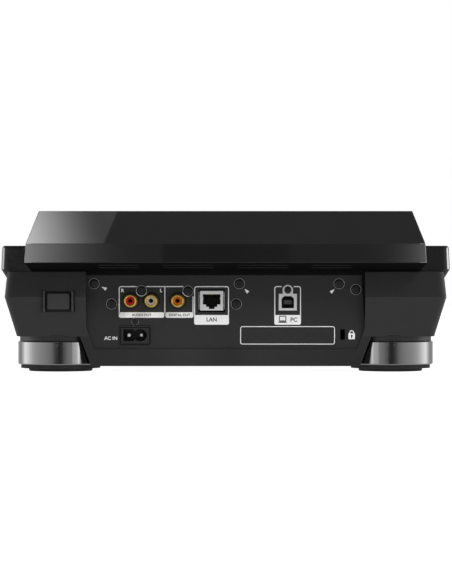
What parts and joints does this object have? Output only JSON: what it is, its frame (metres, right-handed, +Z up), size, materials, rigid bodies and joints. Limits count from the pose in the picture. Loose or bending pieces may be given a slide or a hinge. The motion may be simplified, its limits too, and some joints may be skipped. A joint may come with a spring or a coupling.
{
  "type": "dj media player",
  "caption": "Table-top media player with a jog wheel deck, tilted screen hood, faceted case on round feet and a rear panel of audio, network, USB and mains sockets.",
  "frame": {"origin": "on the ground, under the middle of the player's box", "axes": "+Z up, -Y towards the user, +Y out of the socket panel, +X to the user's right"},
  "size_m": [0.306, 0.3858, 0.1096],
  "materials": {
    "case_plastic": "satin dark grey moulding",
    "deck_plastic": "satin black moulding",
    "hood_gloss": "gloss black",
    "panel_black": "fine matt black paint",
    "plate_steel": "black painted sheet",
    "screen_glass": "smoked clear glass",
    "black_plastic": "plain black moulding",
    "white_plastic": "white moulding",
    "foot_chrome": "polished dark chrome",
    "foot_rubber": "black rubber",
    "screw_black": "blackened steel",
    "gold_plate": "gold plated",
    "insert_plastic": "coloured moulding: red, white, orange",
    "shield_steel": "bright tinned steel",
    "board_laminate": "green laminate",
    "jog_rim": "dark metallic coat",
    "jog_plate": "black spun aluminium",
    "fader_plastic": "satin black with a white line",
    "knob_plastic": "satin black",
    "key_plastic": "satin grey-black keys",
    "transport_key": "gloss black with a lit ring",
    "power_plastic": "satin dark grey"
  },
  "bodies": {
    "chassis": {"lower_case": "case_plastic", "deck_panel": "deck_plastic", "display_hood": "hood_gloss", "bottom_plate": "plate_steel", "jack_panel": "panel_black", "screen_glass": "screen_glass", "lcd_module": "black_plastic", "foot_rings": "foot_chrome", "foot_pads": "foot_rubber", "case_screws": "screw_black", "rca_block": "black_plastic", "rca_barrels": "gold_plate", "rca_inserts": "insert_plastic", "lan_jack": "shield_steel", "usb_b_jack": "shield_steel", "usb_a_jack": "shield_steel", "port_tongues": "white_plastic", "ac_inlet": "black_plastic", "ac_pins": "shield_steel", "jack_board": "board_laminate", "main_board": "board_laminate", "power_board": "board_laminate", "jog_bearing": "black_plastic", "fader_body": "black_plastic", "control_boards": "board_laminate"},
    "jog": {"jog_wheel": "jog_rim", "jog_shaft": "shield_steel"},
    "jog_plate": {"jog_plate": "jog_plate"},
    "play_button": {"play_button": "transport_key"},
    "cue_button": {"cue_button": "transport_key"},
    "fader_cap": {"fader_cap": "fader_plastic"},
    "direction_lever": {"direction_lever": "key_plastic"},
    "brake_knob": {"brake_knob": "knob_plastic"},
    "jog_feel_knob": {"jog_feel_knob": "knob_plastic"},
    "selector_shaft": {"selector_shaft": "shield_steel"},
    "selector_knob": {"selector_knob": "knob_plastic"},
    "power_button": {"power_button": "power_plastic"},
    "browse_button": {"browse_button": "key_plastic"},
    "list_button": {"list_button": "key_plastic"},
    "info_button": {"info_button": "key_plastic"},
    "menu_button": {"menu_button": "key_plastic"},
    "back_button": {"back_button": "key_plastic"},
    "search_back_button": {"search_back_button": "key_plastic"},
    "search_forward_button": {"search_forward_button": "key_plastic"},
    "track_back_button": {"track_back_button": "key_plastic"},
    "track_forward_button": {"track_forward_button": "key_plastic"},
    "hot_cue_button_a": {"hot_cue_button_a": "key_plastic"},
    "hot_cue_button_b": {"hot_cue_button_b": "key_plastic"},
    "hot_cue_button_c": {"hot_cue_button_c": "key_plastic"},
    "hot_cue_button_d": {"hot_cue_button_d": "key_plastic"},
    "loop_in_button": {"loop_in_button": "key_plastic"},
    "loop_out_button": {"loop_out_button": "key_plastic"},
    "loop_exit_button": {"loop_exit_button": "key_plastic"},
    "delete_button": {"delete_button": "key_plastic"},
    "memory_button": {"memory_button": "key_plastic"},
    "sync_button": {"sync_button": "key_plastic"},
    "master_button": {"master_button": "key_plastic"},
    "tempo_range_button": {"tempo_range_button": "key_plastic"},
    "master_tempo_button": {"master_tempo_button": "key_plastic"},
    "tempo_reset_button": {"tempo_reset_button": "key_plastic"}
  },
  "joints": [
    {"name": "jog_turn", "type": "hinge", "parent": "chassis", "child": "jog", "pos_m": [0, -0.08238, 0.09], "axis": [0, 0, 1], "continuous": true},
    {"name": "jog_plate_press", "type": "slide", "parent": "jog", "child": "jog_plate", "axis": [0, 0, -1], "range_m": [0, 0.0005], "stiffness_N_per_m": 20000},
    {"name": "play_press", "type": "slide", "parent": "chassis", "child": "play_button", "axis": [0, 0, -1], "range_m": [0, 0.0012], "stiffness_N_per_m": 1500},
    {"name": "cue_press", "type": "slide", "parent": "chassis", "child": "cue_button", "axis": [0, 0, -1], "range_m": [0, 0.0012], "stiffness_N_per_m": 1500},
    {"name": "tempo_slide", "type": "slide", "parent": "chassis", "child": "fader_cap", "axis": [0, 1, 0], "range_m": [-0.05, 0.05]},
    {"name": "direction_tilt", "type": "hinge", "parent": "chassis", "child": "direction_lever", "pos_m": [-0.11725, -0.0341, 0.08], "axis": [1, 0, 0], "range_deg": [-10, 10]},
    {"name": "brake_turn", "type": "hinge", "parent": "chassis", "child": "brake_knob", "pos_m": [0.13725, 0.03012, 0.086], "axis": [0, 0, 1], "range_deg": [-150, 150]},
    {"name": "jog_feel_turn", "type": "hinge", "parent": "chassis", "child": "jog_feel_knob", "pos_m": [0.13725, 0.00526, 0.086], "axis": [0, 0, 1], "range_deg": [-150, 150]},
    {"name": "selector_press", "type": "slide", "parent": "chassis", "child": "selector_shaft", "axis": [0, 0.1735, -0.9848], "range_m": [0, 0.0008], "stiffness_N_per_m": 1500},
    {"name": "selector_turn", "type": "hinge", "parent": "selector_shaft", "child": "selector_knob", "pos_m": [0.1075, 0.08105, 0.09483], "axis": [0, -0.1735, 0.9848], "continuous": true},
    {"name": "power_press", "type": "slide", "parent": "chassis", "child": "power_button", "axis": [0, -1, 0], "range_m": [0, 0.0012], "stiffness_N_per_m": 800},
    {"name": "browse_press", "type": "slide", "parent": "chassis", "child": "browse_button", "axis": [0, 0.1735, -0.9848], "range_m": [0, 0.0012], "stiffness_N_per_m": 800},
    {"name": "list_press", "type": "slide", "parent": "chassis", "child": "list_button", "axis": [0, 0.1735, -0.9848], "range_m": [0, 0.0012], "stiffness_N_per_m": 800},
    {"name": "info_press", "type": "slide", "parent": "chassis", "child": "info_button", "axis": [0, 0.1735, -0.9848], "range_m": [0, 0.0012], "stiffness_N_per_m": 800},
    {"name": "menu_press", "type": "slide", "parent": "chassis", "child": "menu_button", "axis": [0, 0.1735, -0.9848], "range_m": [0, 0.0012], "stiffness_N_per_m": 800},
    {"name": "back_press", "type": "slide", "parent": "chassis", "child": "back_button", "axis": [0, 0.1735, -0.9848], "range_m": [0, 0.0012], "stiffness_N_per_m": 800},
    {"name": "search_back_press", "type": "slide", "parent": "chassis", "child": "search_back_button", "axis": [0, 0, -1], "range_m": [0, 0.0012], "stiffness_N_per_m": 800},
    {"name": "search_forward_press", "type": "slide", "parent": "chassis", "child": "search_forward_button", "axis": [0, 0, -1], "range_m": [0, 0.0012], "stiffness_N_per_m": 800},
    {"name": "track_back_press", "type": "slide", "parent": "chassis", "child": "track_back_button", "axis": [0, 0, -1], "range_m": [0, 0.0012], "stiffness_N_per_m": 800},
    {"name": "track_forward_press", "type": "slide", "parent": "chassis", "child": "track_forward_button", "axis": [0, 0, -1], "range_m": [0, 0.0012], "stiffness_N_per_m": 800},
    {"name": "hot_cue_button_a_press", "type": "slide", "parent": "chassis", "child": "hot_cue_button_a", "axis": [0, 0, -1], "range_m": [0, 0.0012], "stiffness_N_per_m": 800},
    {"name": "hot_cue_button_b_press", "type": "slide", "parent": "chassis", "child": "hot_cue_button_b", "axis": [0, 0, -1], "range_m": [0, 0.0012], "stiffness_N_per_m": 800},
    {"name": "hot_cue_button_c_press", "type": "slide", "parent": "chassis", "child": "hot_cue_button_c", "axis": [0, 0, -1], "range_m": [0, 0.0012], "stiffness_N_per_m": 800},
    {"name": "hot_cue_button_d_press", "type": "slide", "parent": "chassis", "child": "hot_cue_button_d", "axis": [0, 0, -1], "range_m": [0, 0.0012], "stiffness_N_per_m": 800},
    {"name": "loop_in_press", "type": "slide", "parent": "chassis", "child": "loop_in_button", "axis": [0, 0, -1], "range_m": [0, 0.0012], "stiffness_N_per_m": 800},
    {"name": "loop_out_press", "type": "slide", "parent": "chassis", "child": "loop_out_button", "axis": [0, 0, -1], "range_m": [0, 0.0012], "stiffness_N_per_m": 800},
    {"name": "loop_exit_press", "type": "slide", "parent": "chassis", "child": "loop_exit_button", "axis": [0, 0, -1], "range_m": [0, 0.0012], "stiffness_N_per_m": 800},
    {"name": "delete_press", "type": "slide", "parent": "chassis", "child": "delete_button", "axis": [0, 0, -1], "range_m": [0, 0.0012], "stiffness_N_per_m": 800},
    {"name": "memory_press", "type": "slide", "parent": "chassis", "child": "memory_button", "axis": [0, 0, -1], "range_m": [0, 0.0012], "stiffness_N_per_m": 800},
    {"name": "sync_press", "type": "slide", "parent": "chassis", "child": "sync_button", "axis": [0, 0, -1], "range_m": [0, 0.0012], "stiffness_N_per_m": 800},
    {"name": "master_press", "type": "slide", "parent": "chassis", "child": "master_button", "axis": [0, 0, -1], "range_m": [0, 0.0012], "stiffness_N_per_m": 800},
    {"name": "tempo_range_press", "type": "slide", "parent": "chassis", "child": "tempo_range_button", "axis": [0, 0, -1], "range_m": [0, 0.0012], "stiffness_N_per_m": 800},
    {"name": "master_tempo_press", "type": "slide", "parent": "chassis", "child": "master_tempo_button", "axis": [0, 0, -1], "range_m": [0, 0.0012], "stiffness_N_per_m": 800},
    {"name": "tempo_reset_press", "type": "slide", "parent": "chassis", "child": "tempo_reset_button", "axis": [0, 0, -1], "range_m": [0, 0.0012], "stiffness_N_per_m": 800}
  ]
}
